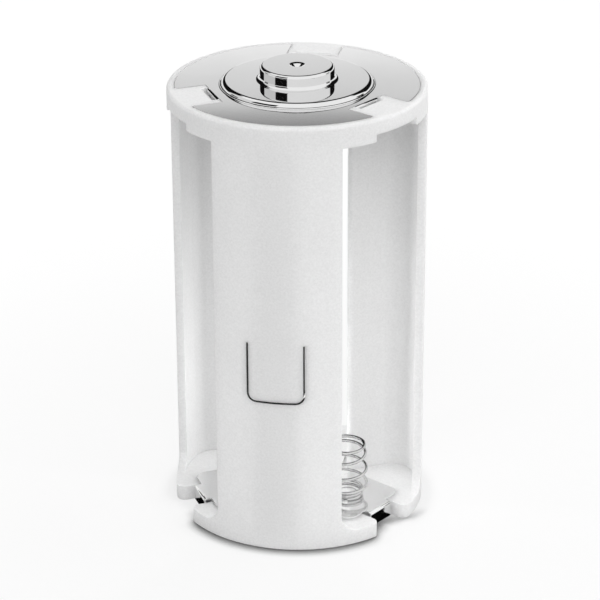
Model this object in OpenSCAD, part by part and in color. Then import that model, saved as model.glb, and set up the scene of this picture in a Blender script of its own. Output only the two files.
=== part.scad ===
// Three-bay cell holder: a round cage the size of a large dry cell.
// It holds three slim cells side by side and joins them in parallel between two pressed contact plates.
// Z is the long axis, z = 0 is the plane it stands on, and the middle of one wall faces -Y.

/* [Envelope] */
// Outside diameter of the cage
outer_d = 33.4; // [32.6:0.1:34.2]
// Height of the moulded cage, without the raised button
body_h = 58.8; // [58:0.1:59.2]
// Overall height, from the standing plane to the top of the button
overall_h = 61.3; // [60.8:0.1:61.5]
// Rounding of the top outer edge
top_edge_r = 0.45; // [0.2:0.05:0.8]
// Rounding of the bottom outer edge
bottom_edge_r = 0.3; // [0.1:0.05:0.5]

/* [Cells] */
// Diameter of one cell
cell_d = 14.5; // [13.5:0.1:14.5]
// Distance from the middle of the holder to each cell's axis
cell_axis_r = 8.5; // [8.4:0.05:8.6]

/* [Walls] */
// Angle that each outer wall spans, in degrees
wall_span = 59.2; // [54:0.2:64]
// Thickness of each outer wall
skin_t = 1.1; // [0.9:0.05:1.4]
// Thickness of the fin behind each wall
fin_t = 1.1; // [0.8:0.05:1.2]
// Distance from the middle of the holder to each fin's inner edge
fin_in_r = 7; // [6.9:0.05:8]
// Radius of the blend between a fin and its wall
fin_blend_r = 3; // [1:0.25:3.5]
// Radius of the blend between a wall's upright edges and the base
foot_blend_r = 2.4; // [1:0.1:3]

/* [Base and top] */
// Thickness of the base
base_t = 2.05; // [1.8:0.05:2.6]
// Half width of each notch in the base's rim
base_notch_hw = 2.65; // [2.4:0.05:3.2]
// Distance from the middle to each notch's inner wall
base_notch_r = 13.2; // [12.8:0.1:13.6]
// Rounding of the notches' outer corners
base_notch_corner_r = 1.1; // [0.3:0.1:1.3]
// Thickness of the top
top_t = 3; // [2.6:0.1:3.4]
// Width of the groove under the top that clears a cell's button
groove_w = 8.1; // [6.5:0.1:9]
// Depth of that groove
groove_d = 1; // [0.6:0.1:1.2]

/* [Wall slit] */
// Half angle between the two upright slits in the front wall, in degrees
slit_half_angle = 12.7; // [9:0.1:16]
// Width of the slits
slit_w = 0.24; // [0.2:0.02:0.5]
// Height of the cross slit above the standing plane
slit_z = 21.4; // [15:0.1:30]
// Length of the upright slits above the cross slit
slit_len = 8.1; // [5:0.1:14]
// Rounding between the upright slits and the cross slit
slit_corner_r = 1.1; // [0.6:0.1:2]

/* [Contact plates] */
// Thickness of the sheet metal
sheet_t = 0.3; // [0.25:0.05:0.35]
// Radius of the positive plate
pos_r = 15.7; // [15.3:0.05:15.8]
// Half width of each notch in the positive plate
pos_notch_hw = 3.42; // [3.2:0.02:3.8]
// Distance from the middle to each notch's inner edge
pos_notch_r = 11.2; // [11:0.05:11.4]
// Half width of each contact tab
pos_tab_hw = 2.15; // [1.8:0.05:2.4]
// Radius of the raised round step
step_r = 9.9; // [9.4:0.05:10.2]
// Height of the raised round step above the plate
step_h = 0.65; // [0.5:0.05:0.8]
// Radius of the button
button_r = 4.76; // [4.5:0.02:4.8]
// Radius of the button's flared foot
foot_r = 5.3; // [5.1:0.05:5.5]
// Height of that flare
foot_h = 0.85; // [0.4:0.05:1]
// Half width of each spring pad on the negative plate
neg_lobe_hw = 5.3; // [4.8:0.1:5.4]
// Distance from the middle to each spring pad's outer edge
neg_lobe_r = 13.3; // [13.2:0.05:13.6]
// Half width of each strap that wraps round the base
neg_strap_hw = 2.1; // [1.8:0.05:2.3]
// Distance from the middle to the straps' outer face
neg_strap_r = 14.3; // [14.1:0.05:14.6]
// Radius of the round contact under the base
neg_disc_r = 9.5; // [8:0.1:11]

/* [Springs] */
// Diameter of the spring wire
wire_d = 0.4; // [0.3:0.05:0.45]
// Coil radius at the bottom, to the middle of the wire
coil_r_bottom = 1.95; // [1.8:0.05:2.1]
// Largest coil radius, to the middle of the wire
coil_r_middle = 2.6; // [2.3:0.05:2.8]
// Coil radius at the top, to the middle of the wire
coil_r_top = 2.25; // [2.1:0.05:2.5]
// Number of turns
turns = 5.75; // [5.5:0.25:6]
// Rise of a closed turn
pitch_closed = 0.5; // [0.48:0.02:0.6]
// Rise of an open turn
pitch_open = 2.25; // [2:0.05:2.4]

/* [Hidden] */
$fn = 96;
R = outer_d / 2;
skin_r = R - skin_t;
wall_dirs = [-90, 30, 150];
bay_dirs = [-30, 90, 210];
ceiling_z = body_h - top_t;
groove_z = ceiling_z + groove_d;
plate_z = body_h - sheet_t;
step_z = body_h + step_h;
half = wall_span / 2;
e = 0.01;
gap = 0.03;

// ---------- shared shapes ----------

// Points along an arc, angles in degrees.
function arc(cx, cy, r, a0, a1, n) = [for (i = [0:n]) [cx + r * cos(a0 + (a1 - a0) * i / n), cy + r * sin(a0 + (a1 - a0) * i / n)]];

// Rounds the convex corner between a circle of radius r about the origin and the line y = h, on the side y > h: what this draws is cut away.
module rim_corner(r, h, c) {
    cx = sqrt(pow(r - c, 2) - pow(h + c, 2));
    a = atan2(h + c, cx);
    polygon(concat(
        [[cx - 0.05, h - 0.3], [r + 1, h - 0.3], [(r + 1) * cos(a + 1), (r + 1) * sin(a + 1)], [(r + 0.02) * cos(a + 1), (r + 0.02) * sin(a + 1)]],
        arc(cx, h + c, c, a - 4, -86, 6),
        [[cx - 0.05, h - 0.01]]
    ));
}

// ---------- moulded cage ----------

// Plan of the positive plate, also used, a little larger, for its seat.
module pos_plan(g) {
    difference() {
        circle(pos_r + g);
        for (a = bay_dirs) rotate(a) {
            translate([pos_notch_r + g, -(pos_notch_hw - g)]) square([8, 2 * (pos_notch_hw - g)]);
            for (s = [0, 1]) mirror([0, s]) rim_corner(pos_r + g, pos_notch_hw - g, 0.4);
        }
    }
}

// Solid with the cage's outer profile and its rounded rims.
module envelope() {
    rotate_extrude($fn = 128) polygon(concat(
        [[0, 0]],
        arc(R - bottom_edge_r, bottom_edge_r, bottom_edge_r, -90, 0, 4),
        arc(R - top_edge_r, body_h - top_edge_r, top_edge_r, 0, 90, 5),
        [[0, body_h]]
    ));
}

// Concave blend between one upright wall edge and the base, as a ramp along the wall's edge.
module foot_blend() {
    f = foot_blend_r;
    rotate(half) translate([skin_r - 2, 0, 0]) rotate([90, 0, 90]) linear_extrude(skin_t + 4)
        polygon(concat(
            [[-0.5, base_t - 0.3], [f + 0.4, base_t - 0.03]],
            arc(f, base_t + f, f, 263, 187, 5),
            [[-0.03, base_t + f + 0.4], [-0.5, base_t + f + 0.4]]
        ));
}

// The three curved walls with their blended feet.
module walls() {
    x0 = skin_r * cos(half) - 1;
    x1 = R + 3;
    difference() {
        for (a = wall_dirs) rotate(a) {
            translate([0, 0, base_t / 2]) linear_extrude(ceiling_z + 1 - base_t / 2)
                polygon([[x0, -x0 * tan(half)], [x1, -x1 * tan(half)], [x1, x1 * tan(half)], [x0, x0 * tan(half)]]);
            for (s = [0, 1]) mirror([0, s, 0]) foot_blend();
        }
        cylinder(r = skin_r, h = body_h, $fn = 128);
    }
}

// Plan of the fin behind one wall, along +X, with its round nose and its blends into the wall.
module fin_plan() {
    h = fin_t / 2;
    vc = h + fin_blend_r;
    uc = sqrt(pow(skin_r - fin_blend_r, 2) - vc * vc);
    a = atan2(vc, uc);
    rr = skin_r + skin_t / 2;
    blend = arc(uc, vc, fin_blend_r, -86, a - 6, 8);
    ends = [[(skin_r + 0.03) * cos(a + 1), (skin_r + 0.03) * sin(a + 1)], [rr * cos(a + 1), rr * sin(a + 1)]];
    polygon(concat(
        arc(fin_in_r + h, 0, h, 270, 90, 8),
        [[uc, h]], blend, ends,
        [for (i = [1:-1:0]) [ends[i][0], -ends[i][1]]],
        [for (i = [8:-1:0]) [blend[i][0], -blend[i][1]]],
        [[uc, -h]]
    ));
}

// U-shaped slit through one wall, along +X, with its free ends at the top.
module wall_slit() {
    h = R * sin(slit_half_angle);
    w = slit_w / 2;
    c = slit_corner_r;
    translate([skin_r * cos(slit_half_angle) - 0.5, 0, slit_z]) rotate([90, 0, 90]) linear_extrude(skin_t + 2)
        polygon(concat(
            [[h + w, slit_len]],
            arc(h - c, c, c + w, 0, -90, 6),
            arc(c - h, c, c + w, 270, 180, 6),
            [[-h - w, slit_len], [-h + w, slit_len]],
            arc(c - h, c, c - w, 180, 270, 6),
            arc(h - c, c, c - w, -90, 0, 6),
            [[h - w, slit_len]]
        ));
}

// Notch in the base's rim, along +X, with rounded outer corners.
module base_notch() {
    translate([0, 0, -1]) linear_extrude(base_t + 2) {
        translate([base_notch_r, -base_notch_hw]) square([6, 2 * base_notch_hw]);
        for (s = [0, 1]) mirror([0, s]) rim_corner(R, base_notch_hw, base_notch_corner_r);
    }
}

module holder_body() {
    color([0.91, 0.91, 0.9]) intersection() {
        envelope();
        difference() {
            union() {
                cylinder(r = R + 1, h = base_t);
                translate([0, 0, ceiling_z]) cylinder(r = R + 1, h = top_t + 1);
                walls();
                for (a = wall_dirs) rotate(a) translate([0, 0, base_t / 2]) linear_extrude(ceiling_z + 1.1 - base_t / 2) fin_plan();
            }
            // seat of the positive plate, flush with the rim
            translate([0, 0, plate_z]) linear_extrude(sheet_t + 1) pos_plan(gap);
            for (a = bay_dirs) rotate(a) {
                // groove that lets a cell's button reach its contact
                translate([pos_notch_r - 6.5, -groove_w / 2, ceiling_z - 1]) cube([R, groove_w, groove_d + 1]);
                // slot that a contact tab passes through, with a chamfered lip
                translate([pos_notch_r - gap, -pos_tab_hw - 0.2, ceiling_z]) cube([0.64, 2 * pos_tab_hw + 0.4, top_t + 1]);
                translate([0, pos_tab_hw + 0.2, 0]) rotate([90, 0, 0]) linear_extrude(2 * pos_tab_hw + 0.4)
                    polygon([[pos_notch_r + 0.5, body_h - 0.5], [pos_notch_r + 1.11, body_h + 0.01], [pos_notch_r + 1.11, body_h + 1], [pos_notch_r + 0.5, body_h + 1]]);
                base_notch();
                // groove under the base for the strap of the negative plate
                translate([0, -neg_strap_hw - gap, -1]) cube([base_notch_r + 1, 2 * (neg_strap_hw + gap), 1 + sheet_t]);
            }
            // seat of the round negative contact
            translate([0, 0, -1]) cylinder(r = neg_disc_r + gap, h = 1 + sheet_t);
            rotate(wall_dirs[0]) wall_slit();
        }
    }
}

// ---------- positive plate ----------

// Raised step and button, turned about Z. Outer face first, then back along the inner face.
module button_profile() {
    t = sheet_t;
    w = foot_r - button_r;
    polygon(concat(
        [[step_r + 0.4, plate_z], [step_r + 0.4, body_h], [step_r, body_h]],
        arc(step_r - 0.7, step_z - 0.5, 0.5, 12, 90, 6),
        [for (i = [0:6]) [foot_r - w * sin(90 * i / 6), step_z + foot_h * (1 - cos(90 * i / 6))]],
        arc(button_r - 0.38, overall_h - 0.38, 0.38, 0, 90, 6),
        [[1.08, overall_h], [0.9, overall_h - 0.04], [0.3, overall_h - 0.18], [0, overall_h - 0.2]],
        [[0, overall_h - 0.2 - t], [0.35, overall_h - 0.18 - t], [1.1, overall_h - t]],
        arc(button_r - 0.38, overall_h - 0.38, 0.08, 90, 0, 3),
        [[button_r - t, step_z + foot_h - 0.3], [foot_r - t, step_z - t]],
        [[step_r - 0.72, step_z - t], [step_r - 0.5, step_z - 0.45], [step_r - 0.3, plate_z]]
    ));
}

// One contact tab along +X: it bends down through its slot, then in towards the cell's button.
module pos_tab() {
    t = sheet_t;
    r = pos_notch_r;
    z1 = groove_z - t - gap;
    translate([0, pos_tab_hw, 0]) rotate([90, 0, 0]) linear_extrude(2 * pos_tab_hw) {
        translate([r - 0.8, plate_z]) square([0.8, t]);
        intersection() {
            translate([r, plate_z]) circle(t, $fn = 32);
            translate([r, plate_z]) square(t);
        }
        translate([r, z1 + t]) square([t, plate_z - z1 - t]);
        intersection() {
            translate([r, z1 + t]) circle(t, $fn = 32);
            translate([r, z1]) square(t);
        }
        translate([cell_axis_r + 0.3, z1]) square([r - cell_axis_r - 0.3, t]);
    }
}

module positive_plate() {
    color([0.78, 0.78, 0.79]) {
        difference() {
            union() {
                translate([0, 0, plate_z]) linear_extrude(sheet_t) difference() {
                    pos_plan(0);
                    circle(step_r + 0.1);
                }
                rotate_extrude($fn = 128) button_profile();
            }
            // small relief holes beside each tab
            for (a = bay_dirs) rotate(a) for (s = [-1, 1])
                translate([pos_notch_r - 0.2, s * (pos_tab_hw + 0.5), plate_z - 1]) cylinder(r = 0.25, h = 3, $fn = 24);
        }
        for (a = bay_dirs) rotate(a) pos_tab();
    }
}

// ---------- negative plate ----------

// Plan of one spring pad along +X.
module neg_pad_plan() {
    c = 1.5;
    difference() {
        translate([4.7, -neg_lobe_hw]) square([neg_lobe_r - 4.7, 2 * neg_lobe_hw]);
        for (s = [0, 1]) mirror([0, s]) translate([neg_lobe_r - c, neg_lobe_hw - c]) difference() {
            square(c + 1);
            circle(c, $fn = 32);
        }
    }
}

// One arm along +X: a strap under the base, round its edge and back over it as a spring pad.
module neg_arm() {
    t = sheet_t;
    ro = neg_strap_r;
    z2 = base_t + t;
    b = 0.45;
    translate([0, neg_strap_hw, 0]) rotate([90, 0, 0]) linear_extrude(2 * neg_strap_hw) {
        difference() {
            translate([neg_disc_r - 0.5, 0]) square([ro - neg_disc_r + 0.5, z2]);
            translate([neg_disc_r - 1, t]) square([ro - t - neg_disc_r + 1, base_t - t]);
            translate([ro - b, z2 - b]) difference() { square(b + 1); circle(b, $fn = 32); }
            translate([ro - b, b]) rotate(-90) difference() { square(b + 1); circle(b, $fn = 32); }
            translate([0, base_t - 0.1]) square([neg_lobe_r - 0.5, 2]);
        }
    }
    translate([0, 0, base_t]) linear_extrude(t) neg_pad_plan();
    // pip that centres the spring
    translate([cell_axis_r, 0, base_t + t - e]) cylinder(r = 1.35, h = 0.45 + e, $fn = 32);
}

module negative_plate() {
    color([0.76, 0.76, 0.77]) {
        cylinder(r = neg_disc_r, h = sheet_t);
        for (a = bay_dirs) rotate(a) neg_arm();
    }
}

// ---------- springs ----------

// Smooth start of the open turns: 0 before, then a slope that grows to 1 over w turns.
function ramp(x, w) = x <= 0 ? 0 : x >= w ? x - w / 2 : w * (pow(x / w, 3) - pow(x / w, 4) / 2);
// Height of the wire above its first point after n turns.
function coil_z(n) = pitch_closed * n + (pitch_open - pitch_closed) * (ramp(n - 1.5, 1) - ramp(n - turns + 1.5, 0.75));
// Coil radius after n turns: narrow at the bottom, widest a third of the way up.
function coil_r(n) = n < 2.4
    ? coil_r_bottom + (coil_r_middle - coil_r_bottom) * (1 - cos(180 * max(0, n - 0.9) / 1.5)) / 2
    : coil_r_middle + (coil_r_top - coil_r_middle) * (1 - cos(180 * (n - 2.4) / (turns - 2.4))) / 2;

module cell_spring(dir) {
    sides = 8;
    per_turn = 18;
    rings = round(turns * per_turn);
    z0 = base_t + sheet_t + wire_d / 2 + 0.02;
    pts = [for (i = [0:rings]) let (n = turns * i / rings, a = -50 + 360 * n, r = coil_r(n), z = z0 + coil_z(n))
        for (k = [0:sides - 1]) let (b = 360 * k / sides)
            [(r + wire_d / 2 * cos(b)) * cos(a), (r + wire_d / 2 * cos(b)) * sin(a), z + wire_d / 2 * sin(b)]];
    faces = concat(
        [[for (k = [0:sides - 1]) k]],
        [for (i = [0:rings - 1]) for (k = [0:sides - 1]) let (k2 = (k + 1) % sides)
            [i * sides + k, (i + 1) * sides + k, (i + 1) * sides + k2, i * sides + k2]],
        [[for (k = [0:sides - 1]) rings * sides + sides - 1 - k]]);
    color([0.7, 0.7, 0.72]) rotate(dir) translate([cell_axis_r, 0, 0]) polyhedron(pts, faces, convexity = 10);
}

module cell_spring_1() { cell_spring(bay_dirs[0]); }
module cell_spring_2() { cell_spring(bay_dirs[1]); }
module cell_spring_3() { cell_spring(bay_dirs[2]); }

holder_body();
positive_plate();
negative_plate();
cell_spring_1();
cell_spring_2();
cell_spring_3();
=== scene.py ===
"""Looks for the three-bay cell holder: a moulded cage, two pressed contact plates and three wound springs.

Everything is in metres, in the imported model's own frame: +Z up, the middle of one wall faces -Y.
"""

import math

import bmesh
import bpy
import numpy as np
from mathutils import Matrix, Vector
from mathutils.geometry import tessellate_polygon


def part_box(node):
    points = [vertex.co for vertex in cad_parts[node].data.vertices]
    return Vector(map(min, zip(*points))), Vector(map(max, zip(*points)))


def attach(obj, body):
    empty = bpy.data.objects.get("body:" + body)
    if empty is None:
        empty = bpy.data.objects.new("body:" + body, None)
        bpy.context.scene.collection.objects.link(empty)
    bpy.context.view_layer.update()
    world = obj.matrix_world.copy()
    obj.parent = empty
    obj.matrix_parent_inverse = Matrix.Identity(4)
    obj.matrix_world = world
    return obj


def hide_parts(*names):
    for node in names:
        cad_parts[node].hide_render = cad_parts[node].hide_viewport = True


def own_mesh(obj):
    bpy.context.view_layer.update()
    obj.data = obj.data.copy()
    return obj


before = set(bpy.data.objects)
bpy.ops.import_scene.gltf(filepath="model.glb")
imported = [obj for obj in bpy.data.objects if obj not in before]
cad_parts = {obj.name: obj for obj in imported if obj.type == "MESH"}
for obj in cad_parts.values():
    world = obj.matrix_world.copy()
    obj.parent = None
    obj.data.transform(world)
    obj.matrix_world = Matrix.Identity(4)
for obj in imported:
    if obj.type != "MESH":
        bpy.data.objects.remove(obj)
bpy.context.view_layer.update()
MM = 0.001
TURN = math.radians(10.2)  # the camera's side of the object, round Z from the -Y wall

scene = bpy.context.scene
scene.view_settings.view_transform = "Standard"
scene.view_settings.look = "None"

# ---------- sizes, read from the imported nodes, in millimetres ----------
body_lo, body_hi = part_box("holder_body")
pos_lo, pos_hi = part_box("positive_plate")
neg_lo, neg_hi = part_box("negative_plate")
R = body_hi.z and (body_hi.x - body_lo.x) / 2 / MM
BODY_H = body_hi.z / MM
TOP = pos_hi.z / MM
SHEET = 0.3
BASE_T = 2.05
BAYS = (-30, 90, 210)
WALLS = (-90, 30, 150)
CELL_R = 8.5


SSS = 1.0  # the cage's plastic lets some light through its thin walls


# ---------- material helpers ----------
def new_material(name):
    m = bpy.data.materials.new(name)
    m.use_nodes = True
    nt = m.node_tree
    nt.nodes.clear()
    out = nt.nodes.new("ShaderNodeOutputMaterial")
    return m, nt, out


def link(nt, a, b):
    nt.links.new(a, b)


def noise(nt, coord, scale, detail=2.0, rough=0.5, stretch=None):
    n = nt.nodes.new("ShaderNodeTexNoise")
    n.inputs["Scale"].default_value = scale
    n.inputs["Detail"].default_value = detail
    n.inputs["Roughness"].default_value = rough
    if stretch:
        mp = nt.nodes.new("ShaderNodeMapping")
        mp.inputs["Scale"].default_value = stretch
        link(nt, coord, mp.inputs["Vector"])
        link(nt, mp.outputs["Vector"], n.inputs["Vector"])
    else:
        link(nt, coord, n.inputs["Vector"])
    return n.outputs["Fac"]


def ramp(nt, fac, stops):
    r = nt.nodes.new("ShaderNodeValToRGB")
    els = r.color_ramp.elements
    while len(els) < len(stops):
        els.new(0.5)
    for e, (p, c) in zip(els, stops):
        e.position = p
        e.color = (*c, 1) if len(c) == 3 else c
    link(nt, fac, r.inputs["Fac"])
    return r.outputs["Color"]


def spread(nt, fac, lo, hi, a=0.3, b=0.7):
    r = nt.nodes.new("ShaderNodeMapRange")
    r.inputs["From Min"].default_value = a
    r.inputs["From Max"].default_value = b
    r.inputs["To Min"].default_value = lo
    r.inputs["To Max"].default_value = hi
    link(nt, fac, r.inputs["Value"])
    return r.outputs["Result"]


def bump(nt, height, strength, distance, normal=None):
    b = nt.nodes.new("ShaderNodeBump")
    b.inputs["Strength"].default_value = strength
    b.inputs["Distance"].default_value = distance
    link(nt, height, b.inputs["Height"])
    if normal is not None:
        link(nt, normal, b.inputs["Normal"])
    return b.outputs["Normal"]


def object_coord(nt):
    return nt.nodes.new("ShaderNodeTexCoord").outputs["Object"]


def matte_plastic(name):
    """White ABS from a spark-eroded mould: fine grain, faint flow clouds, a slightly uneven sheen."""
    m, nt, out = new_material(name)
    co = object_coord(nt)
    s = nt.nodes.new("ShaderNodeBsdfPrincipled")
    clouds = noise(nt, co, 90, 3.0, 0.55)
    grain = noise(nt, co, 3600, 3.0, 0.6)
    fine = noise(nt, co, 9500, 1.0, 0.5)
    tint = ramp(nt, clouds, [(0.3, (0.90, 0.90, 0.90)), (0.7, (0.92, 0.92, 0.92))])
    speck = ramp(nt, grain, [(0.3, (0.91, 0.91, 0.91)), (0.7, (1.0, 1.0, 1.0))])
    mix = nt.nodes.new("ShaderNodeMix")
    mix.data_type = "RGBA"
    mix.blend_type = "MULTIPLY"
    mix.inputs["Factor"].default_value = 1.0
    link(nt, tint, mix.inputs["A"])
    link(nt, speck, mix.inputs["B"])
    link(nt, mix.outputs["Result"], s.inputs["Base Color"])
    link(nt, spread(nt, grain, 0.50, 0.62), s.inputs["Roughness"])
    s.inputs["IOR"].default_value = 1.5
    s.inputs["Subsurface Weight"].default_value = SSS
    s.inputs["Subsurface Radius"].default_value = (1.0, 1.0, 1.0)
    s.inputs["Subsurface Scale"].default_value = 0.0012
    n1 = bump(nt, grain, 0.55, 0.00003)
    n2 = bump(nt, fine, 0.35, 0.00001, n1)
    link(nt, n2, s.inputs["Normal"])
    link(nt, s.outputs["BSDF"], out.inputs["Surface"])
    return m


def nickel(name, tone=0.8, rough=(0.07, 0.12), rolling=True):
    """Nickel-plated steel: bright, with the faint lines of the rolled sheet and a slightly uneven polish."""
    m, nt, out = new_material(name)
    co = object_coord(nt)
    s = nt.nodes.new("ShaderNodeBsdfPrincipled")
    s.inputs["Metallic"].default_value = 1.0
    patches = noise(nt, co, 160, 3.0, 0.55)
    stretch = (1.0, 14.0, 1.0) if rolling else (1.0, 1.0, 3.0)
    lines = noise(nt, co, 900, 2.0, 0.5, stretch)
    link(
        nt,
        ramp(
            nt,
            patches,
            [
                (0.3, (tone - 0.02, tone - 0.02, tone - 0.02)),
                (0.7, (tone + 0.01, tone + 0.01, tone + 0.01)),
            ],
        ),
        s.inputs["Base Color"],
    )
    link(nt, spread(nt, lines, rough[0], rough[1]), s.inputs["Roughness"])
    link(nt, bump(nt, lines, 0.12, 0.000002), s.inputs["Normal"])
    link(nt, s.outputs["BSDF"], out.inputs["Surface"])
    return m


def painted_shade_plastic(name):
    """The same plastic inside the narrow slit, coloured near-black as painted shade: the dark face stands in for the
    shadow deep in the slit.
    """
    m, nt, out = new_material(name)
    s = nt.nodes.new("ShaderNodeBsdfPrincipled")
    co = object_coord(nt)
    # near-black base colour: painted shade, not the plastic's own colour
    link(nt, ramp(nt, noise(nt, co, 2400, 2.0, 0.5), [(0.3, (0.035, 0.035, 0.035)), (0.7, (0.055, 0.055, 0.055))]), s.inputs["Base Color"])
    link(nt, spread(nt, noise(nt, co, 3600, 2.0, 0.5), 0.7, 0.85), s.inputs["Roughness"])
    link(nt, s.outputs["BSDF"], out.inputs["Surface"])
    return m


PLASTIC = matte_plastic("cage_plastic")
# painted shade: the slit's side faces get a near-black colour in place of the shadow inside the slit
SLIT_PAINTED_SHADE_MAT = painted_shade_plastic("cage_slit_painted_shade")
PLATE_MAT = nickel("plate_nickel", 0.80, (0.02, 0.05))
NEG_MAT = nickel("plate_nickel_base", 0.88, (0.10, 0.16))
WIRE_MAT = nickel("spring_nickel", 0.66, (0.05, 0.10), rolling=False)


# ---------- mesh helpers ----------
def mesh_object(name, verts, faces, material, smooth_angle=None, scale=MM):
    me = bpy.data.meshes.new(name)
    me.from_pydata([[c * scale for c in v] for v in verts], [], faces)
    bm = bmesh.new()
    bm.from_mesh(me)
    bmesh.ops.remove_doubles(bm, verts=bm.verts, dist=1e-7)
    bmesh.ops.recalc_face_normals(bm, faces=bm.faces)
    bm.to_mesh(me)
    bm.free()
    o = bpy.data.objects.new(name, me)
    scene.collection.objects.link(o)
    me.materials.append(material)
    shade(o, smooth_angle)
    return o


def shade(o, angle, flats=True):
    """Smooth shading, with sharp edges wherever two faces meet at more than angle degrees. Level faces stay flat."""
    me = o.data
    if angle is None:
        return
    bm = bmesh.new()
    bm.from_mesh(me)
    limit = math.radians(angle)
    for f in bm.faces:
        f.smooth = not (flats and abs(f.normal.z) > 0.99999)
    for e in bm.edges:
        if len(e.link_faces) == 2:
            e.smooth = e.calc_face_angle(0) < limit
        else:
            e.smooth = False
    bm.to_mesh(me)
    bm.free()


def join(name, objs):
    """One object from several, keeping each one's sharp edges."""
    bm = bmesh.new()
    for o in objs:
        bm.from_mesh(o.data)
    me = bpy.data.meshes.new(name)
    bm.to_mesh(me)
    bm.free()
    for m in objs[0].data.materials:
        me.materials.append(m)
    out = bpy.data.objects.new(name, me)
    scene.collection.objects.link(out)
    for o in objs:
        bpy.data.objects.remove(o)
    return out


def rot2(p, deg):
    c, s = math.cos(math.radians(deg)), math.sin(math.radians(deg))
    return (p[0] * c - p[1] * s, p[0] * s + p[1] * c)


def arc(cx, cy, r, a0, a1, n):
    return [
        (
            cx + r * math.cos(math.radians(a0 + (a1 - a0) * i / n)),
            cy + r * math.sin(math.radians(a0 + (a1 - a0) * i / n)),
        )
        for i in range(n + 1)
    ]


def inset(pts, d):
    """A closed anticlockwise outline moved inwards by d, with mitred corners."""
    n = len(pts)
    out = []
    for i in range(n):
        a, b, c = pts[i - 1], pts[i], pts[(i + 1) % n]
        u = (b[0] - a[0], b[1] - a[1])
        v = (c[0] - b[0], c[1] - b[1])
        lu, lv = math.hypot(*u), math.hypot(*v)
        n1 = (-u[1] / lu, u[0] / lu)
        n2 = (-v[1] / lv, v[0] / lv)
        k = 1 + n1[0] * n2[0] + n1[1] * n2[1]
        k = max(k, 0.3)
        out.append((b[0] + d * (n1[0] + n2[0]) / k, b[1] + d * (n1[1] + n2[1]) / k))
    return out


def edge_levels(z0, z1, b, n=3):
    """(inset, height) steps of a sheet's rolled edge, from the top face to the bottom face."""
    up = [(b * (1 - math.sin(t)), z1 - b * (1 - math.cos(t))) for t in [math.pi / 2 * i / n for i in range(n + 1)]]
    down = [(b * (1 - math.sin(t)), z0 + b * (1 - math.cos(t))) for t in [math.pi / 2 * i / n for i in range(n + 1)]]
    return up + down[::-1]


def sheet_piece(outline, z0, z1, b, hole=None):
    """A flat pressed sheet with rolled edges. hole is an inner outline left open, without rolled edges."""
    verts, faces = [], []
    rings = []
    for d, z in edge_levels(z0, z1, b):
        pts = inset(outline, d) if d > 1e-6 else outline
        rings.append(list(range(len(verts), len(verts) + len(pts))))
        verts += [(x, y, z) for x, y in pts]
    n = len(outline)
    for a, c in zip(rings, rings[1:]):
        for i in range(n):
            j = (i + 1) % n
            faces.append((a[i], c[i], c[j], a[j]))
    for ring, z, flip in ((rings[0], z1, False), (rings[-1], z0, True)):
        loops = [[Vector(verts[i]) for i in ring]]
        index = list(ring)
        if hole:
            start = len(verts)
            verts += [(x, y, z) for x, y in hole]
            loops.append([Vector((x, y, z)) for x, y in hole])
            index += list(range(start, start + len(hole)))
        for t in tessellate_polygon(loops):
            f = [index[k] for k in t]
            faces.append(tuple(f[::-1]) if flip else tuple(f))
    return verts, faces


def lathe(profile, n, close=False):
    """(verts, faces) of a profile of (r, z) turned about Z."""
    verts, faces = [], []
    rings = []
    for r, z in profile:
        if r < 1e-6:
            rings.append([len(verts)])
            verts.append((0, 0, z))
        else:
            rings.append(list(range(len(verts), len(verts) + n)))
            verts += [(r * math.cos(2 * math.pi * i / n), r * math.sin(2 * math.pi * i / n), z) for i in range(n)]
    pairs = list(zip(rings, rings[1:])) + ([(rings[-1], rings[0])] if close else [])
    for a, c in pairs:
        for i in range(n):
            j = (i + 1) % n
            if len(a) == 1 and len(c) == 1:
                continue
            if len(a) == 1:
                faces.append((a[0], c[i], c[j]))
            elif len(c) == 1:
                faces.append((a[i], c[0], a[j]))
            else:
                faces.append((a[i], c[i], c[j], a[j]))
    return verts, faces


def strip(path, width, t, b, direction):
    """A strip of sheet that follows path, (radial, height) points of its middle line, rotated to a bay's direction."""
    verts, faces = [], []
    hw, ht = width / 2, t / 2
    sec = []
    for cx, cy, a0 in ((hw - b, ht - b, 0), (-hw + b, ht - b, 90), (-hw + b, -ht + b, 180), (hw - b, -ht + b, 270)):
        sec += arc(cx, cy, b, a0, a0 + 90, 3)
    m = len(sec)
    n = len(path)
    for i, (x, z) in enumerate(path):
        a, c = path[max(i - 1, 0)], path[min(i + 1, n - 1)]
        u = (c[0] - a[0], c[1] - a[1])
        l = math.hypot(*u)
        nx, nz = -u[1] / l, u[0] / l
        for w, h in sec:
            px, py = rot2((x + nx * h, w), direction)
            verts.append((px, py, z + nz * h))
    for i in range(n - 1):
        for k in range(m):
            k2 = (k + 1) % m
            faces.append((i * m + k, i * m + k2, (i + 1) * m + k2, (i + 1) * m + k))
    faces.append(tuple(range(m))[::-1])
    faces.append(tuple((n - 1) * m + k for k in range(m)))
    return verts, faces


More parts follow.
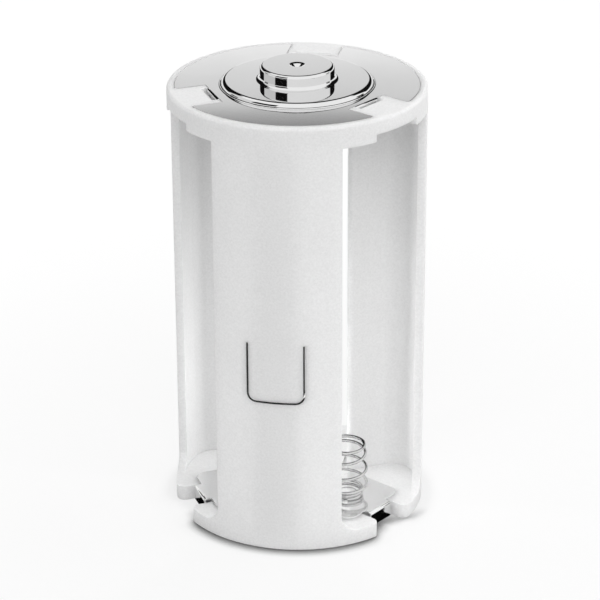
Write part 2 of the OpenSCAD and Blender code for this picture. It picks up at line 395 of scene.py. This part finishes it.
# ---------- moulded cage ----------
def build_cage():
    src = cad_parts["holder_body"]
    bm = bmesh.new()
    bm.from_mesh(src.data)
    bmesh.ops.remove_doubles(bm, verts=bm.verts, dist=2e-7)
    bmesh.ops.dissolve_degenerate(bm, edges=bm.edges, dist=1e-7)
    bmesh.ops.dissolve_limit(bm, angle_limit=math.radians(0.6), verts=bm.verts, edges=bm.edges)
    me = bpy.data.meshes.new("cage")
    bm.to_mesh(me)
    bm.free()
    o = bpy.data.objects.new("cage", me)
    scene.collection.objects.link(o)
    me.materials.append(PLASTIC)
    bev = o.modifiers.new("edge", "BEVEL")
    bev.width = 0.13 * MM
    bev.segments = 3
    bev.limit_method = "ANGLE"
    bev.angle_limit = math.radians(38)
    bev.use_clamp_overlap = True
    bev.harden_normals = False
    bev.miter_outer = "MITER_ARC"
    dg = bpy.context.evaluated_depsgraph_get()
    done = bpy.data.meshes.new_from_object(o.evaluated_get(dg))
    o.modifiers.clear()
    o.data = done
    done.name = "cage"
    bm = bmesh.new()
    bm.from_mesh(done)
    bmesh.ops.triangulate(bm, faces=[f for f in bm.faces if len(f.verts) > 4])
    bm.to_mesh(done)
    bm.free()
    shade(o, 28, flats=False)
    wn = o.modifiers.new("normals", "WEIGHTED_NORMAL")
    wn.keep_sharp = True
    wn.weight = 80
    dg = bpy.context.evaluated_depsgraph_get()
    done = bpy.data.meshes.new_from_object(o.evaluated_get(dg))
    o.modifiers.clear()
    o.data = done
    done.name = "cage"
    # the side faces of the U-shaped slit in the front wall, which get the near-black painted shade
    done.materials.append(SLIT_PAINTED_SHADE_MAT)
    slit_r = (R - 1.1) * MM
    for f in done.polygons:
        c = f.center
        if c.y > -0.9 * slit_r * math.cos(math.radians(15)) or not 20.9 * MM < c.z < 30.0 * MM or abs(c.x) > 3.9 * MM:
            continue
        out = Vector((c.x, c.y, 0)).normalized()
        if abs(f.normal.dot(out)) < 0.5 and math.hypot(c.x, c.y) < (R - 0.05) * MM:
            f.material_index = 1
    return o


cage = build_cage()
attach(cage, "holder")
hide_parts("holder_body")


# ---------- positive plate ----------
def pos_outline():
    r, h, ri, c = pos_hi.z and 15.7, 3.42, 11.2, 0.4
    cx = math.sqrt((r - c) ** 2 - (h + c) ** 2)
    a = math.degrees(math.atan2(h + c, cx))
    pts = []
    for k, d in enumerate(BAYS):
        one = []
        # lower lip of the notch, in to its bottom, out along the upper lip
        one += [(x, -y) for x, y in arc(cx, h + c, c, a, -90, 7)]
        one += [(ri + 0.12, -h)] + [(ri + 0.12 + 0.12 * math.cos(t), -h + 0.12 + 0.12 * math.sin(t)) for t in [math.radians(q) for q in (-110, -135, -160)]] + [(ri, -h + 0.12)]
        one += [(ri, h - 0.12)] + [(ri + 0.12 + 0.12 * math.cos(t), h - 0.12 + 0.12 * math.sin(t)) for t in [math.radians(q) for q in (160, 135, 110)]] + [(ri + 0.12, h)]
        one += arc(cx, h + c, c, -90, a, 7)
        span = 120 - 2 * a
        one += [(r * math.cos(math.radians(a + span * i / 60)), r * math.sin(math.radians(a + span * i / 60))) for i in range(1, 60)]
        pts += [rot2(p, d) for p in one]
    return pts


def button_profile():
    t, sz = SHEET, BODY_H + 0.65
    pz = BODY_H - SHEET
    step_r, br, fr, fh = 9.9, 4.76, 5.3, 0.5
    outer = []
    outer += [(step_r + 0.4, BODY_H)]
    outer += arc(step_r + 0.12, BODY_H + 0.16, 0.16, 270, 195, 6)  # foot of the step
    outer += arc(step_r - 0.72, sz - 0.56, 0.56, 8, 90, 12)  # its rolled edge
    outer += [(7.5, sz), (6.0, sz)]
    flare = [math.radians(90 * i / 14) for i in range(15)]
    outer += [(fr - (fr - br) * math.sin(q), sz + fh * (1 - math.cos(q))) for q in flare]  # flared foot of the button
    outer += arc(br - 0.38, TOP - 0.38, 0.38, 0, 90, 16)  # shoulder
    outer += [(3.0, TOP), (1.6, TOP)]
    outer += [(1.04 - 0.77 * math.sin(q), TOP - 0.77 * (1 - math.cos(q))) for q in [math.radians(42 * i / 8) for i in range(9)]]  # punched dimple
    outer += [(0.2, TOP - 0.492), (0.14, TOP - 0.53), (0.07, TOP - 0.55), (0, TOP - 0.556)]
    inner = [(0, TOP - 0.56 - t), (0.3, TOP - 0.5 - t), (1.1, TOP - t)]
    inner += arc(br - 0.38, TOP - 0.38, 0.08, 90, 0, 3)
    inner += [(br - t, sz + fh - 0.3), (fr - t, sz - t), (step_r - 0.72, sz - t), (step_r - 0.5, sz - 0.45), (step_r - 0.3, pz), (step_r + 0.4, pz)]
    return outer + inner


def build_positive():
    n = 256
    hole = [(10.3 * math.cos(2 * math.pi * i / n), 10.3 * math.sin(2 * math.pi * i / n)) for i in range(n)]
    v, f = sheet_piece(pos_outline(), BODY_H - SHEET, BODY_H, 0.05, hole)
    flat = mesh_object("p_flat", v, f, PLATE_MAT, 25)
    v, f = lathe(button_profile(), n)
    btn = mesh_object("p_button", v, f, PLATE_MAT, 40)
    parts = [flat, btn]
    z1 = BODY_H - 3 + 1 - SHEET - 0.03
    for d in BAYS:
        ri = 11.2
        path = [(ri - 0.35, BODY_H - 0.15 - 0.002), (ri - 0.02, BODY_H - 0.15 - 0.002)]
        path += [(ri + 0.15 * math.sin(q), BODY_H - 0.3 + 0.148 * math.cos(q)) for q in [math.pi / 2 * i / 5 for i in range(1, 6)]]
        path += [(ri + 0.15, z1 + 0.30 + 0.1)]
        path += [(ri + 0.15 * math.cos(q), z1 + 0.3 - 0.15 * math.sin(q)) for q in [math.pi / 2 * i / 5 for i in range(6)]]
        path += [(CELL_R + 0.3, z1 + 0.15)]
        v, f = strip(path, 4.3, 0.296, 0.04, d)
        parts.append(mesh_object(f"p_tab{d}", v, f, PLATE_MAT, 25))
    return join("positive_contact_plate", parts)


plus = build_positive()
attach(plus, "holder")
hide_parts("positive_plate")


# ---------- negative plate ----------
def build_negative():
    t = SHEET
    parts = []
    n = 192
    ring = [(9.5 * math.cos(2 * math.pi * i / n), 9.5 * math.sin(2 * math.pi * i / n)) for i in range(n)]
    v, f = sheet_piece(ring, 0, t, 0.05)
    parts.append(mesh_object("n_disc", v, f, NEG_MAT, 25))
    ro, z2 = 14.3, BASE_T + t
    hw, lr, c = 5.3, 13.3, 1.5
    for d in BAYS:
        # pad under the spring
        pad = [(4.7, -hw), (lr - c, -hw)] + arc(lr - c, -hw + c, c, -90, 0, 10)[1:] + arc(lr - c, hw - c, c, 0, 90, 10) + [(4.7, hw)]
        v, f = sheet_piece([rot2(p, d) for p in pad], BASE_T, z2, 0.05)
        parts.append(mesh_object(f"n_pad{d}", v, f, NEG_MAT, 25))
        # strap round the rim of the base
        rb = 0.45 - t / 2
        path = [(9.2, t / 2 + 0.001)]
        path += [(ro - 0.45 + rb * math.sin(q), 0.45 - rb * math.cos(q)) for q in [math.pi / 2 * i / 6 for i in range(7)]]
        path += [(ro - 0.45 + rb * math.cos(q), z2 - 0.45 + rb * math.sin(q)) for q in [math.pi / 2 * i / 6 for i in range(7)]]
        path += [(lr - 0.6, z2 - t / 2 - 0.002)]
        v, f = strip(path, 4.2, t - 0.004, 0.05, d)
        parts.append(mesh_object(f"n_strap{d}", v, f, NEG_MAT, 25))
        # pip that centres the spring
        pip = [(1.5, z2 - 0.01)] + arc(1.35 - 0.02, z2 + 0.02, 0.02, 180, 179, 1)[:0] + [(1.42, z2 + 0.02), (1.36, z2 + 0.08)] + arc(1.1, z2 + 0.2, 0.25, 0, 90, 6) + [(0.5, z2 + 0.45), (0, z2 + 0.45)]
        v, f = lathe(pip, 48)
        v = [(x + CELL_R * math.cos(math.radians(d)), y + CELL_R * math.sin(math.radians(d)), z) for x, y, z in v]
        parts.append(mesh_object(f"n_pip{d}", v, f, NEG_MAT, 40))
    return join("negative_contact_plate", parts)


minus = build_negative()
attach(minus, "holder")
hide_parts("negative_plate")


# ---------- springs ----------
WIRE = 0.4
TURNS = 5.75
P_CLOSED, P_OPEN = 0.5, 2.25


def ease(x, w):
    if x <= 0:
        return 0.0
    if x >= w:
        return x - w / 2
    return w * ((x / w) ** 3 - (x / w) ** 4 / 2)


def coil_z(n):
    return P_CLOSED * n + (P_OPEN - P_CLOSED) * (ease(n - 1.5, 1) - ease(n - TURNS + 1.5, 0.75))


def coil_r(n):
    lo, mid, hi = 1.95, 2.6, 2.25
    if n < 2.4:
        return lo + (mid - lo) * (1 - math.cos(math.pi * max(0, n - 0.9) / 1.5)) / 2
    return mid + (hi - mid) * (1 - math.cos(math.pi * (n - 2.4) / (TURNS - 2.4))) / 2


def build_spring(name, d):
    sides, per = 14, 40
    rings = round(TURNS * per)
    z0 = BASE_T + SHEET + WIRE / 2 + 0.02
    cx, cy = CELL_R * math.cos(math.radians(d)), CELL_R * math.sin(math.radians(d))

    def at(n):
        a = math.radians(-50 + 360 * n + d)
        r = coil_r(n)
        return np.array([cx + r * math.cos(a), cy + r * math.sin(a), z0 + coil_z(n)]), a

    verts, faces = [], []
    for i in range(rings + 1):
        n = TURNS * i / rings
        p, a = at(n)
        q = at(min(n + 0.002, TURNS))[0] - at(max(n - 0.002, 0))[0]
        q /= np.linalg.norm(q)
        u = np.array([math.cos(a), math.sin(a), 0])
        u -= q * (u @ q)
        u /= np.linalg.norm(u)
        w = np.cross(q, u)
        for k in range(sides):
            b = 2 * math.pi * k / sides
            verts.append(tuple(p + WIRE / 2 * (math.cos(b) * u + math.sin(b) * w)))
    for i in range(rings):
        for k in range(sides):
            k2 = (k + 1) % sides
            faces.append((i * sides + k, i * sides + k2, (i + 1) * sides + k2, (i + 1) * sides + k))
    faces.append(tuple(range(sides))[::-1])
    faces.append(tuple(rings * sides + k for k in range(sides)))
    return mesh_object(name, verts, faces, WIRE_MAT, 50)


for i, d in enumerate(BAYS, 1):
    s = build_spring(f"cell_spring_{i}_wire", d)
    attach(s, "holder")
    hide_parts(f"cell_spring_{i}")
    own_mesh(s)


# ---------- camera ----------
E, ROLL = math.radians(24.2024622), math.radians(-0.24083104)
loc = Vector((0.234, -310.15, 167.88)) * MM
right = Vector((1, 0, 0))
up = Vector((0, math.sin(E), math.cos(E)))
fwd = Vector((0, math.cos(E), -math.sin(E)))
right2 = right * math.cos(ROLL) + up * math.sin(ROLL)
up2 = up * math.cos(ROLL) - right * math.sin(ROLL)
look = Matrix((
    (right2.x, up2.x, -fwd.x, loc.x),
    (right2.y, up2.y, -fwd.y, loc.y),
    (right2.z, up2.z, -fwd.z, loc.z),
    (0, 0, 0, 1),
))
cam_data = bpy.data.cameras.new("camera")
cam_data.sensor_width = 36
cam_data.lens = 2570.26 / 600 * 36
cam_data.clip_start, cam_data.clip_end = 0.01, 20
cam = bpy.data.objects.new("camera", cam_data)
scene.collection.objects.link(cam)
cam.matrix_world = Matrix.Rotation(TURN, 4, "Z") @ look
scene.camera = cam


# ---------- floor, light ----------
def staged(name, verts, faces, material, camera=True, diffuse=True, shadow=True, glossy=True):
    me = bpy.data.meshes.new(name)
    me.from_pydata([[c * MM for c in v] for v in verts], [], faces)
    o = bpy.data.objects.new(name, me)
    scene.collection.objects.link(o)
    me.materials.append(material)
    o.rotation_euler = (0, 0, TURN)
    o.visible_camera = camera
    o.visible_diffuse = diffuse
    o.visible_shadow = shadow
    o.visible_glossy = glossy
    return o


def math_node(nt, op, a, b=None, clamp=False):
    n = nt.nodes.new("ShaderNodeMath")
    n.operation = op
    n.use_clamp = clamp
    for i, x in enumerate((a, b)):
        if x is None:
            continue
        if isinstance(x, (int, float)):
            n.inputs[i].default_value = x
        else:
            link(nt, x, n.inputs[i])
    return n.outputs[0]


def smooth_band(nt, x, a, b, soft):
    """1 where a < x < b, falling to 0 over soft on both sides."""
    lo = nt.nodes.new("ShaderNodeMapRange")
    lo.interpolation_type = "SMOOTHSTEP"
    lo.inputs["From Min"].default_value = a - soft / 2
    lo.inputs["From Max"].default_value = a + soft / 2
    link(nt, x, lo.inputs["Value"])
    hi = nt.nodes.new("ShaderNodeMapRange")
    hi.interpolation_type = "SMOOTHSTEP"
    hi.inputs["From Min"].default_value = b - soft / 2
    hi.inputs["From Max"].default_value = b + soft / 2
    hi.inputs["To Min"].default_value = 1
    hi.inputs["To Max"].default_value = 0
    link(nt, x, hi.inputs["Value"])
    return math_node(nt, "MULTIPLY", lo.outputs["Result"], hi.outputs["Result"])


def pick(nt, f, a, b):
    """b where f is 1, a where it is 0."""
    return math_node(nt, "ADD", math_node(nt, "MULTIPLY", a, math_node(nt, "SUBTRACT", 1.0, f)), math_node(nt, "MULTIPLY", b, f))


def floor_material():
    """A white sweep. It is lit by the room and glows a little itself, so it stays nearly white round the object. Its
    glow carries a painted contact shadow along the object's front and a painted shade that lifts slowly with distance,
    and metal mirrors a painted dark ring round the object.
    """
    m, nt, out = new_material("floor_white")
    lp = nt.nodes.new("ShaderNodeLightPath")
    is_c, is_g = lp.outputs["Is Camera Ray"], lp.outputs["Is Glossy Ray"]
    g = nt.nodes.new("ShaderNodeNewGeometry")
    sep = nt.nodes.new("ShaderNodeSeparateXYZ")
    link(nt, g.outputs["Position"], sep.inputs["Vector"])
    x, y = sep.outputs["X"], sep.outputs["Y"]
    rad = math_node(nt, "SQRT", math_node(nt, "ADD", math_node(nt, "MULTIPLY", x, x), math_node(nt, "MULTIPLY", y, y)))
    # painted reflection ring: 0 within 19 mm of the middle, 1 beyond 23 mm
    painted_dark_ring = nt.nodes.new("ShaderNodeMapRange")
    painted_dark_ring.interpolation_type = "SMOOTHSTEP"
    painted_dark_ring.inputs["From Min"].default_value = 19 * MM
    painted_dark_ring.inputs["From Max"].default_value = 23 * MM
    link(nt, rad, painted_dark_ring.inputs["Value"])
    d = nt.nodes.new("ShaderNodeBsdfDiffuse")
    # painted contact shadow: occlusion within 2.8 mm darkens the floor's glow as well as its lit share
    near = nt.nodes.new("ShaderNodeAmbientOcclusion")
    near.samples = 8
    near.inputs["Distance"].default_value = 2.8 * MM
    contact = nt.nodes.new("ShaderNodeMapRange")
    contact.interpolation_type = "SMOOTHSTEP"
    contact.inputs["From Min"].default_value = 0.48
    contact.inputs["From Max"].default_value = 0.92
    contact.inputs["To Min"].default_value = 0.0
    contact.inputs["To Max"].default_value = 1.0
    link(nt, near.outputs["AO"], contact.inputs["Value"])
    # the painted shadow is kept to the camera's side of the object and fades out further back
    depth = math_node(nt, "SUBTRACT", math_node(nt, "MULTIPLY", y, math.cos(TURN)), math_node(nt, "MULTIPLY", x, math.sin(TURN)))
    front = nt.nodes.new("ShaderNodeMapRange")
    front.interpolation_type = "SMOOTHSTEP"
    front.inputs["From Min"].default_value = -10.5 * MM
    front.inputs["From Max"].default_value = -4.5 * MM
    front.inputs["To Min"].default_value = 0.0
    front.inputs["To Max"].default_value = 0.9
    link(nt, depth, front.inputs["Value"])
    painted_shadow_factor = math_node(nt, "MAXIMUM", contact.outputs["Result"], front.outputs["Result"])
    tone = pick(nt, is_c, FLOOR_BOUNCE, FLOOR_SHADED)
    # painted reflection: the floor's lit share, as metal sees it, is dark near the object
    tone = pick(nt, is_g, tone, math_node(nt, "MULTIPLY", painted_dark_ring.outputs["Result"], 0.3))
    comb = nt.nodes.new("ShaderNodeCombineColor")
    for i in range(3):
        link(nt, tone, comb.inputs[i])
    link(nt, comb.outputs["Color"], d.inputs["Color"])
    e = nt.nodes.new("ShaderNodeEmission")
    # painted shade: the glow is 5% lower near the object and rises further out
    far = nt.nodes.new("ShaderNodeMapRange")
    far.interpolation_type = "SMOOTHSTEP"
    far.inputs["From Min"].default_value = 25 * MM
    far.inputs["From Max"].default_value = 110 * MM
    far.inputs["To Min"].default_value = 1.0
    far.inputs["To Max"].default_value = 1.05
    link(nt, rad, far.inputs["Value"])
    glow = math_node(nt, "MULTIPLY", math_node(nt, "MULTIPLY", painted_shadow_factor, FLOOR_GLOW), far.outputs["Result"])
    glow = pick(nt, is_c, FLOOR_FILL, glow)
    # painted reflection: metal that stands flat on the floor mirrors plain white, and metal above it mirrors a painted
    # dark ring round the object in place of the object's own shadow
    resting = math_node(nt, "LESS_THAN", lp.outputs["Ray Length"], 0.3 * MM)
    seen = pick(nt, resting, math_node(nt, "MULTIPLY", painted_dark_ring.outputs["Result"], 0.75), 0.62)
    glow = pick(nt, is_g, glow, seen)
    link(nt, glow, e.inputs["Strength"])
    add = nt.nodes.new("ShaderNodeAddShader")
    link(nt, d.outputs["BSDF"], add.inputs[0])
    link(nt, e.outputs["Emission"], add.inputs[1])
    back = nt.nodes.new("ShaderNodeBsdfTransparent")
    mix = nt.nodes.new("ShaderNodeMixShader")
    link(nt, g.outputs["Backfacing"], mix.inputs["Fac"])
    link(nt, add.outputs["Shader"], mix.inputs[1])
    link(nt, back.outputs["BSDF"], mix.inputs[2])
    link(nt, mix.outputs["Shader"], out.inputs["Surface"])
    return m


FLOOR_BOUNCE, FLOOR_SHADED = 0.5, 0.20  # how much of the room's light the floor gives back, to the object and to the eye
FLOOR_FILL, FLOOR_GLOW = 0.187, 0.785
floor = staged("floor", [(-3000, -3000, -0.02), (3000, -3000, -0.02), (3000, 3000, -0.02), (-3000, 3000, -0.02)], [(0, 1, 2, 3)], floor_material())


def card_material(name, stops, z0, z1):
    """Emission that changes with height between z0 and z1, in millimetres."""
    m, nt, out = new_material(name)
    g = nt.nodes.new("ShaderNodeNewGeometry")
    sep = nt.nodes.new("ShaderNodeSeparateXYZ")
    link(nt, g.outputs["Position"], sep.inputs["Vector"])
    r = nt.nodes.new("ShaderNodeMapRange")
    r.inputs["From Min"].default_value = z0 * MM
    r.inputs["From Max"].default_value = z1 * MM
    link(nt, sep.outputs["Z"], r.inputs["Value"])
    col = ramp(nt, r.outputs["Result"], [((z - z0) / (z1 - z0), (v, v, v)) for z, v in stops])
    e = nt.nodes.new("ShaderNodeEmission")
    link(nt, col, e.inputs["Color"])
    link(nt, e.outputs["Emission"], out.inputs["Surface"])
    return m


CARD = card_material(
    "back_card",
    [(12, 0.95), (160, 1.0), (187.6, 1.02), (197.2, 0.80), (206, 0.72), (208.7, 0.50), (212.5, 0.33), (220.8, 0.03), (420, 0.008)],
    12,
    420,
)
for name, w, y, z0, z1 in (("card_low", 75, 60, 12, 69), ("card_high", 37, 400, 20, 420)):
    staged(name, [(-w, y, z0), (w, y, z0), (w, y, z1), (-w, y, z1)], [(0, 1, 2, 3)], CARD, camera=False, diffuse=False, shadow=False)
dark_card = card_material("card_top", [(110, 0.008), (290, 0.01)], 110, 290)
staged("card_top", [(-45, 60, 115), (45, 60, 115), (45, 60, 285), (-45, 60, 285)], [(0, 1, 2, 3)], dark_card, camera=False, diffuse=False, shadow=False)
# painted reflection: a dark disc above each spring, seen only by reflections, stands in for the shade under the top
# that the springs mirror
for i, d in enumerate(BAYS, 1):
    fx, fy = rot2((CELL_R, 0), d)
    ring = [(fx + 7.0 * math.cos(math.pi * k / 16), fy + 7.0 * math.sin(math.pi * k / 16), 34) for k in range(32)]
    flag = staged(f"flag_{i}", ring, [tuple(range(32))], card_material(f"flag_{i}", [(30, 0.01), (40, 0.02)], 30, 40), camera=False, diffuse=False, shadow=False)
    flag.rotation_euler = (0, 0, 0)


# painted reflection: a small dark card low down near the middle, seen only by reflections, darkens what the nearby
# metal mirrors
back_flag = staged(
    "flag_back",
    [(3.0, -2.2, 8.2), (9.6, -2.2, 8.2), (9.6, -2.2, 18), (3.0, -2.2, 18)],
    [(0, 1, 2, 3)],
    card_material("flag_back", [(4, 0.015), (20, 0.02)], 4, 20),
    camera=False, diffuse=False, shadow=False,
)


def world_light():
    w = bpy.data.worlds.new("studio")
    scene.world = w
    w.use_nodes = True
    nt = w.node_tree
    nt.nodes.clear()
    out = nt.nodes.new("ShaderNodeOutputWorld")
    tc = nt.nodes.new("ShaderNodeTexCoord")
    mp = nt.nodes.new("ShaderNodeMapping")
    mp.inputs["Rotation"].default_value = (0, 0, -TURN)
    link(nt, tc.outputs["Generated"], mp.inputs["Vector"])
    sep = nt.nodes.new("ShaderNodeSeparateXYZ")
    link(nt, mp.outputs["Vector"], sep.inputs["Vector"])
    x, y, z = sep.outputs
    deg = 180 / math.pi
    az = math_node(nt, "MULTIPLY", math_node(nt, "ARCTAN2", x, math_node(nt, "MULTIPLY", y, -1)), deg)
    absaz = math_node(nt, "ABSOLUTE", az)
    el = math_node(nt, "MULTIPLY", math_node(nt, "ARCSINE", z), deg)

    # the soft room: brightest in front and to the right, in four bands of height
    turn = math_node(nt, "ADD", math_node(nt, "DIVIDE", az, 360.0), 0.5)
    bands = [
        [0.00, 0.00, 0.32, 0.08, 0.55, 1.61],
        [1.42, 0.85, 0.79, 3.09, 1.30, 1.65],
        [1.17, 0.60, 0.00, 1.67, 0.13, 0.94],
    ]
    rows = []
    for vals in bands:
        stops = [(i / 6, (v / 3.2,) * 3) for i, v in enumerate(vals)] + [(1.0, (vals[0] / 3.2,) * 3)]
        rows.append(ramp(nt, turn, stops))
    share_low = smooth_band(nt, el, -95, 20, 8)
    share_mid = smooth_band(nt, el, 20, 45, 8)
    share_high = smooth_band(nt, el, 45, 70, 8)
    share_top = smooth_band(nt, el, 70, 120, 8)
    soft = math_node(nt, "MULTIPLY", share_top, 0.05)
    for share, row in zip((share_low, share_mid, share_high), rows):
        soft = math_node(nt, "ADD", soft, math_node(nt, "MULTIPLY", math_node(nt, "MULTIPLY", row, 3.2), share))

    # what polished metal sees: the same room, with dark flags in it
    side = math_node(nt, "MULTIPLY", smooth_band(nt, absaz, 123, 190, 5), smooth_band(nt, el, 9, 45, 5))
    low = math_node(nt, "MULTIPLY", smooth_band(nt, absaz, 98, 115, 5), smooth_band(nt, el, -30, 14, 5))
    side = math_node(nt, "MAXIMUM", side, low)
    grey = math_node(nt, "MULTIPLY", smooth_band(nt, az, -121, -72, 5), smooth_band(nt, el, -10, 40, 6))
    patch = math_node(nt, "MULTIPLY", smooth_band(nt, az, -72, -31, 3), smooth_band(nt, el, 6, 40, 3))
    dark = math_node(nt, "MAXIMUM", math_node(nt, "MAXIMUM", side, patch), math_node(nt, "MULTIPLY", grey, 0.25))
    glossy = math_node(nt, "ADD", 0.006, math_node(nt, "MULTIPLY", math_node(nt, "SUBTRACT", 1.0, dark), 1.02))

    lp = nt.nodes.new("ShaderNodeLightPath")
    is_g = lp.outputs["Is Glossy Ray"]
    is_c = lp.outputs["Is Camera Ray"]

    value = pick(nt, is_g, soft, glossy)
    value = pick(nt, is_c, value, 0.97)
    bg = nt.nodes.new("ShaderNodeBackground")
    bg.inputs["Color"].default_value = (1, 1, 1, 1)
    link(nt, value, bg.inputs["Strength"])
    link(nt, bg.outputs["Background"], out.inputs["Surface"])


world_light()

# faint fill towards the three bays, as the light that thin white walls pass on
for i, (z, watts) in enumerate(((8, 0.0009), (20, 0.0006), (33, 0.0003))):
    lamp = bpy.data.lights.new(f"core_{i}", "POINT")
    lamp.energy = watts
    lamp.shadow_soft_size = 2.5 * MM
    lamp_object = bpy.data.objects.new(f"core_{i}", lamp)
    scene.collection.objects.link(lamp_object)
    lamp_object.location = (0, 0, z * MM)
    lamp_object.visible_camera = False
    lamp_object.visible_glossy = False
for z, watts in ((9, 0.0018), (20, 0.0013), (31, 0.0009), (43, 0.0003)):
    for i, d in enumerate(BAYS, 1):
        lamp = bpy.data.lights.new(f"fill_{i}_{z}", "SPOT")
        lamp.energy = watts
        lamp.shadow_soft_size = 2.0 * MM
        lamp.spot_size = math.radians(104)
        lamp.spot_blend = 0.15
        lamp_object = bpy.data.objects.new(f"fill_{i}_{z}", lamp)
        scene.collection.objects.link(lamp_object)
        lamp_object.location = (0, 0, z * MM)
        lamp_object.rotation_euler = (math.radians(90), 0, math.radians(d - 90))
        lamp_object.visible_camera = False
        lamp_object.visible_glossy = False
